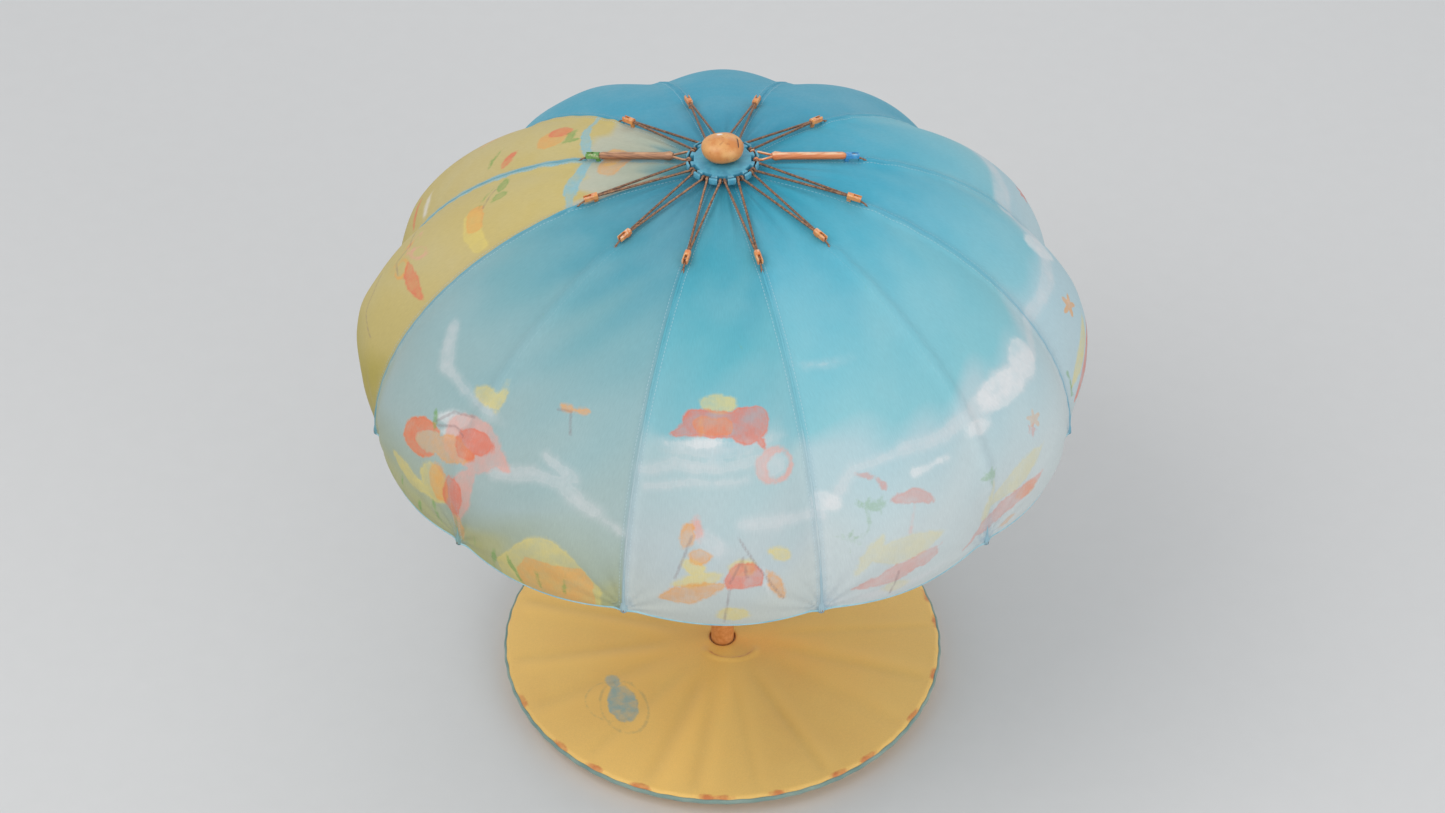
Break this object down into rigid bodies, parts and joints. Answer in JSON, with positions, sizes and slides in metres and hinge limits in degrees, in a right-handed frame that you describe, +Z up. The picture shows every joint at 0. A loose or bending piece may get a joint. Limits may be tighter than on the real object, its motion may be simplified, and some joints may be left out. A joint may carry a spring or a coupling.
{
  "type": "children's umbrella",
  "caption": "Folding umbrella with a pillowed dome canopy under an exposed wire frame, on a pole that stands in a round fabric-covered base.",
  "frame": {"origin": "middle of the base's underside, on the floor", "axes": "+Z up the pole; -Y to the front, where the lock screw points; the orange rod leans from +X towards +Y"},
  "size_m": [0.8326, 0.8326, 0.7955],
  "materials": {
    "base_weight": "rough, sand filled",
    "base_fabric": "woven orange-yellow cover with radial seams",
    "socket_plastic": "satin moulded",
    "lock_plastic": "satin moulded",
    "pole_tube": "white powder coat",
    "crown_plastic": "satin moulded",
    "tie_wire": "bare wire",
    "knob_plastic": "smooth, slightly worn",
    "canopy_fabric": "printed polyester, light sheen",
    "washer_nylon": "plain",
    "runner_plastic": "satin moulded",
    "ring_rubber": "matt",
    "rib_wire": "bronzed wire",
    "orange_rod": "painted, worn along the top",
    "brown_rod": "stained, satin",
    "orange_clip": "satin moulded",
    "blue_clip": "satin moulded",
    "green_clip": "satin moulded",
    "outer_rib_fibre": "fibre rod in a sewn sleeve",
    "stretcher_wire": "bronzed wire"
  },
  "bodies": {
    "base": {"base_weight": "base_weight", "base_cover": "base_fabric", "pole_socket": "socket_plastic"},
    "lock_screw": {"lock_knob": "lock_plastic"},
    "mast": {"pole": "pole_tube", "crown": "crown_plastic", "crown_tie_wire": "tie_wire", "top_knob": "knob_plastic", "canopy": "canopy_fabric", "canopy_washer": "washer_nylon"},
    "slider": {"runner": "runner_plastic", "friction_ring": "ring_rubber"},
    "rib_01": {"inner_rib_01": "orange_rod", "joint_clip_01": "blue_clip"},
    "rib_02": {"inner_rib_02": "rib_wire", "joint_clip_02": "orange_clip"},
    "rib_03": {"inner_rib_03": "rib_wire", "joint_clip_03": "orange_clip"},
    "rib_04": {"inner_rib_04": "rib_wire", "joint_clip_04": "orange_clip"},
    "rib_05": {"inner_rib_05": "rib_wire", "joint_clip_05": "orange_clip"},
    "rib_06": {"inner_rib_06": "brown_rod", "joint_clip_06": "green_clip"},
    "rib_07": {"inner_rib_07": "rib_wire", "joint_clip_07": "orange_clip"},
    "rib_08": {"inner_rib_08": "rib_wire", "joint_clip_08": "orange_clip"},
    "rib_09": {"inner_rib_09": "rib_wire", "joint_clip_09": "orange_clip"},
    "rib_10": {"inner_rib_10": "rib_wire", "joint_clip_10": "orange_clip"},
    "rib_11": {"inner_rib_11": "rib_wire", "joint_clip_11": "orange_clip"},
    "rib_12": {"inner_rib_12": "rib_wire", "joint_clip_12": "orange_clip"},
    "hem_rib_01": {"outer_rib_01": "outer_rib_fibre"},
    "hem_rib_02": {"outer_rib_02": "outer_rib_fibre"},
    "hem_rib_03": {"outer_rib_03": "outer_rib_fibre"},
    "hem_rib_04": {"outer_rib_04": "outer_rib_fibre"},
    "hem_rib_05": {"outer_rib_05": "outer_rib_fibre"},
    "hem_rib_06": {"outer_rib_06": "outer_rib_fibre"},
    "hem_rib_07": {"outer_rib_07": "outer_rib_fibre"},
    "hem_rib_08": {"outer_rib_08": "outer_rib_fibre"},
    "hem_rib_09": {"outer_rib_09": "outer_rib_fibre"},
    "hem_rib_10": {"outer_rib_10": "outer_rib_fibre"},
    "hem_rib_11": {"outer_rib_11": "outer_rib_fibre"},
    "hem_rib_12": {"outer_rib_12": "outer_rib_fibre"},
    "strut_01": {"stretcher_01": "stretcher_wire"},
    "strut_02": {"stretcher_02": "stretcher_wire"},
    "strut_03": {"stretcher_03": "stretcher_wire"},
    "strut_04": {"stretcher_04": "stretcher_wire"},
    "strut_05": {"stretcher_05": "stretcher_wire"},
    "strut_06": {"stretcher_06": "stretcher_wire"},
    "strut_07": {"stretcher_07": "stretcher_wire"},
    "strut_08": {"stretcher_08": "stretcher_wire"},
    "strut_09": {"stretcher_09": "stretcher_wire"},
    "strut_10": {"stretcher_10": "stretcher_wire"},
    "strut_11": {"stretcher_11": "stretcher_wire"},
    "strut_12": {"stretcher_12": "stretcher_wire"}
  },
  "joints": [
    {"name": "pole_lift", "type": "slide", "parent": "base", "child": "mast", "axis": [0, 0, 1], "range_m": [0, 0.12]},
    {"name": "lock_screw_turn", "type": "hinge", "parent": "base", "child": "lock_screw", "pos_m": [0, -0.02, 0.112], "axis": [0, -1, 0], "range_deg": [0, 270]},
    {"name": "canopy_fold", "type": "hinge", "parent": "mast", "child": "rib_01", "pos_m": [0.03477, 0.00932, 0.763], "axis": [-0.2588, 0.9659, 0], "range_deg": [0, 70], "deforming": ["canopy"]},
    {"name": "rib_fold_02", "type": "hinge", "parent": "mast", "child": "rib_02", "pos_m": [0.02546, 0.02546, 0.763], "axis": [-0.7071, 0.7071, 0], "range_deg": [0, 70.05]},
    {"name": "rib_fold_03", "type": "hinge", "parent": "mast", "child": "rib_03", "pos_m": [0.00932, 0.03477, 0.763], "axis": [-0.9659, 0.2588, 0], "range_deg": [0, 70.05]},
    {"name": "rib_fold_04", "type": "hinge", "parent": "mast", "child": "rib_04", "pos_m": [-0.00932, 0.03477, 0.763], "axis": [-0.9659, -0.2588, 0], "range_deg": [0, 70.05]},
    {"name": "rib_fold_05", "type": "hinge", "parent": "mast", "child": "rib_05", "pos_m": [-0.02546, 0.02546, 0.763], "axis": [-0.7071, -0.7071, 0], "range_deg": [0, 70.05]},
    {"name": "rib_fold_06", "type": "hinge", "parent": "mast", "child": "rib_06", "pos_m": [-0.03477, 0.00932, 0.763], "axis": [-0.2588, -0.9659, 0], "range_deg": [0, 70.05]},
    {"name": "rib_fold_07", "type": "hinge", "parent": "mast", "child": "rib_07", "pos_m": [-0.03477, -0.00932, 0.763], "axis": [0.2588, -0.9659, 0], "range_deg": [0, 70.05]},
    {"name": "rib_fold_08", "type": "hinge", "parent": "mast", "child": "rib_08", "pos_m": [-0.02546, -0.02546, 0.763], "axis": [0.7071, -0.7071, 0], "range_deg": [0, 70.05]},
    {"name": "rib_fold_09", "type": "hinge", "parent": "mast", "child": "rib_09", "pos_m": [-0.00932, -0.03477, 0.763], "axis": [0.9659, -0.2588, 0], "range_deg": [0, 70.05]},
    {"name": "rib_fold_10", "type": "hinge", "parent": "mast", "child": "rib_10", "pos_m": [0.00932, -0.03477, 0.763], "axis": [0.9659, 0.2588, 0], "range_deg": [0, 70.05]},
    {"name": "rib_fold_11", "type": "hinge", "parent": "mast", "child": "rib_11", "pos_m": [0.02546, -0.02546, 0.763], "axis": [0.7071, 0.7071, 0], "range_deg": [0, 70.05]},
    {"name": "rib_fold_12", "type": "hinge", "parent": "mast", "child": "rib_12", "pos_m": [0.03477, -0.00932, 0.763], "axis": [0.2588, 0.9659, 0], "range_deg": [0, 70.05]},
    {"name": "hem_fold_01", "type": "hinge", "parent": "rib_01", "child": "hem_rib_01", "pos_m": [0.14489, 0.03882, 0.742], "axis": [-0.2588, 0.9659, 0], "range_deg": [-23.94, 0]},
    {"name": "hem_fold_02", "type": "hinge", "parent": "rib_02", "child": "hem_rib_02", "pos_m": [0.10607, 0.10607, 0.742], "axis": [-0.7071, 0.7071, 0], "range_deg": [-23.94, 0]},
    {"name": "hem_fold_03", "type": "hinge", "parent": "rib_03", "child": "hem_rib_03", "pos_m": [0.03882, 0.14489, 0.742], "axis": [-0.9659, 0.2588, 0], "range_deg": [-23.94, 0]},
    {"name": "hem_fold_04", "type": "hinge", "parent": "rib_04", "child": "hem_rib_04", "pos_m": [-0.03882, 0.14489, 0.742], "axis": [-0.9659, -0.2588, 0], "range_deg": [-23.94, 0]},
    {"name": "hem_fold_05", "type": "hinge", "parent": "rib_05", "child": "hem_rib_05", "pos_m": [-0.10607, 0.10607, 0.742], "axis": [-0.7071, -0.7071, 0], "range_deg": [-23.94, 0]},
    {"name": "hem_fold_06", "type": "hinge", "parent": "rib_06", "child": "hem_rib_06", "pos_m": [-0.14489, 0.03882, 0.742], "axis": [-0.2588, -0.9659, 0], "range_deg": [-23.94, 0]},
    {"name": "hem_fold_07", "type": "hinge", "parent": "rib_07", "child": "hem_rib_07", "pos_m": [-0.14489, -0.03882, 0.742], "axis": [0.2588, -0.9659, 0], "range_deg": [-23.94, 0]},
    {"name": "hem_fold_08", "type": "hinge", "parent": "rib_08", "child": "hem_rib_08", "pos_m": [-0.10607, -0.10607, 0.742], "axis": [0.7071, -0.7071, 0], "range_deg": [-23.94, 0]},
    {"name": "hem_fold_09", "type": "hinge", "parent": "rib_09", "child": "hem_rib_09", "pos_m": [-0.03882, -0.14489, 0.742], "axis": [0.9659, -0.2588, 0], "range_deg": [-23.94, 0]},
    {"name": "hem_fold_10", "type": "hinge", "parent": "rib_10", "child": "hem_rib_10", "pos_m": [0.03882, -0.14489, 0.742], "axis": [0.9659, 0.2588, 0], "range_deg": [-23.94, 0]},
    {"name": "hem_fold_11", "type": "hinge", "parent": "rib_11", "child": "hem_rib_11", "pos_m": [0.10607, -0.10607, 0.742], "axis": [0.7071, 0.7071, 0], "range_deg": [-23.94, 0]},
    {"name": "hem_fold_12", "type": "hinge", "parent": "rib_12", "child": "hem_rib_12", "pos_m": [0.14489, -0.03882, 0.742], "axis": [0.2588, 0.9659, 0], "range_deg": [-23.94, 0]},
    {"name": "strut_fold_01", "type": "hinge", "parent": "rib_01", "child": "strut_01", "pos_m": [0.13542, 0.03629, 0.72855], "axis": [-0.2588, 0.9659, 0], "range_deg": [-119.67, 0]},
    {"name": "strut_fold_02", "type": "hinge", "parent": "rib_02", "child": "strut_02", "pos_m": [0.09914, 0.09914, 0.72855], "axis": [-0.7071, 0.7071, 0], "range_deg": [-119.67, 0]},
    {"name": "strut_fold_03", "type": "hinge", "parent": "rib_03", "child": "strut_03", "pos_m": [0.03629, 0.13542, 0.72855], "axis": [-0.9659, 0.2588, 0], "range_deg": [-119.67, 0]},
    {"name": "strut_fold_04", "type": "hinge", "parent": "rib_04", "child": "strut_04", "pos_m": [-0.03629, 0.13542, 0.72855], "axis": [-0.9659, -0.2588, 0], "range_deg": [-119.67, 0]},
    {"name": "strut_fold_05", "type": "hinge", "parent": "rib_05", "child": "strut_05", "pos_m": [-0.09914, 0.09914, 0.72855], "axis": [-0.7071, -0.7071, 0], "range_deg": [-119.67, 0]},
    {"name": "strut_fold_06", "type": "hinge", "parent": "rib_06", "child": "strut_06", "pos_m": [-0.13542, 0.03629, 0.72855], "axis": [-0.2588, -0.9659, 0], "range_deg": [-119.67, 0]},
    {"name": "strut_fold_07", "type": "hinge", "parent": "rib_07", "child": "strut_07", "pos_m": [-0.13542, -0.03629, 0.72855], "axis": [0.2588, -0.9659, 0], "range_deg": [-119.67, 0]},
    {"name": "strut_fold_08", "type": "hinge", "parent": "rib_08", "child": "strut_08", "pos_m": [-0.09914, -0.09914, 0.72855], "axis": [0.7071, -0.7071, 0], "range_deg": [-119.67, 0]},
    {"name": "strut_fold_09", "type": "hinge", "parent": "rib_09", "child": "strut_09", "pos_m": [-0.03629, -0.13542, 0.72855], "axis": [0.9659, -0.2588, 0], "range_deg": [-119.67, 0]},
    {"name": "strut_fold_10", "type": "hinge", "parent": "rib_10", "child": "strut_10", "pos_m": [0.03629, -0.13542, 0.72855], "axis": [0.9659, 0.2588, 0], "range_deg": [-119.67, 0]},
    {"name": "strut_fold_11", "type": "hinge", "parent": "rib_11", "child": "strut_11", "pos_m": [0.09914, -0.09914, 0.72855], "axis": [0.7071, 0.7071, 0], "range_deg": [-119.67, 0]},
    {"name": "strut_fold_12", "type": "hinge", "parent": "rib_12", "child": "strut_12", "pos_m": [0.13542, -0.03629, 0.72855], "axis": [0.2588, 0.9659, 0], "range_deg": [-119.67, 0]},
    {"name": "runner_slide", "type": "slide", "parent": "mast", "child": "slider", "axis": [0, 0, 1], "range_m": [-0.1428, 0]}
  ],
  "couplings": [
    {"joint": "rib_fold_02", "follows": "canopy_fold", "ratio": 1},
    {"joint": "rib_fold_03", "follows": "canopy_fold", "ratio": 1},
    {"joint": "rib_fold_04", "follows": "canopy_fold", "ratio": 1},
    {"joint": "rib_fold_05", "follows": "canopy_fold", "ratio": 1},
    {"joint": "rib_fold_06", "follows": "canopy_fold", "ratio": 1},
    {"joint": "rib_fold_07", "follows": "canopy_fold", "ratio": 1},
    {"joint": "rib_fold_08", "follows": "canopy_fold", "ratio": 1},
    {"joint": "rib_fold_09", "follows": "canopy_fold", "ratio": 1},
    {"joint": "rib_fold_10", "follows": "canopy_fold", "ratio": 1},
    {"joint": "rib_fold_11", "follows": "canopy_fold", "ratio": 1},
    {"joint": "rib_fold_12", "follows": "canopy_fold", "ratio": 1},
    {"joint": "hem_fold_01", "follows": "canopy_fold", "ratio": -0.34128},
    {"joint": "hem_fold_02", "follows": "canopy_fold", "ratio": -0.34128},
    {"joint": "hem_fold_03", "follows": "canopy_fold", "ratio": -0.34128},
    {"joint": "hem_fold_04", "follows": "canopy_fold", "ratio": -0.34128},
    {"joint": "hem_fold_05", "follows": "canopy_fold", "ratio": -0.34128},
    {"joint": "hem_fold_06", "follows": "canopy_fold", "ratio": -0.34128},
    {"joint": "hem_fold_07", "follows": "canopy_fold", "ratio": -0.34128},
    {"joint": "hem_fold_08", "follows": "canopy_fold", "ratio": -0.34128},
    {"joint": "hem_fold_09", "follows": "canopy_fold", "ratio": -0.34128},
    {"joint": "hem_fold_10", "follows": "canopy_fold", "ratio": -0.34128},
    {"joint": "hem_fold_11", "follows": "canopy_fold", "ratio": -0.34128},
    {"joint": "hem_fold_12", "follows": "canopy_fold", "ratio": -0.34128},
    {"joint": "strut_fold_01", "follows": "canopy_fold", "ratio": -1.7088},
    {"joint": "strut_fold_02", "follows": "canopy_fold", "ratio": -1.7088},
    {"joint": "strut_fold_03", "follows": "canopy_fold", "ratio": -1.7088},
    {"joint": "strut_fold_04", "follows": "canopy_fold", "ratio": -1.7088},
    {"joint": "strut_fold_05", "follows": "canopy_fold", "ratio": -1.7088},
    {"joint": "strut_fold_06", "follows": "canopy_fold", "ratio": -1.7088},
    {"joint": "strut_fold_07", "follows": "canopy_fold", "ratio": -1.7088},
    {"joint": "strut_fold_08", "follows": "canopy_fold", "ratio": -1.7088},
    {"joint": "strut_fold_09", "follows": "canopy_fold", "ratio": -1.7088},
    {"joint": "strut_fold_10", "follows": "canopy_fold", "ratio": -1.7088},
    {"joint": "strut_fold_11", "follows": "canopy_fold", "ratio": -1.7088},
    {"joint": "strut_fold_12", "follows": "canopy_fold", "ratio": -1.7088},
    {"joint": "runner_slide", "follows": "canopy_fold", "m_per_rad": -0.11664}
  ]
}
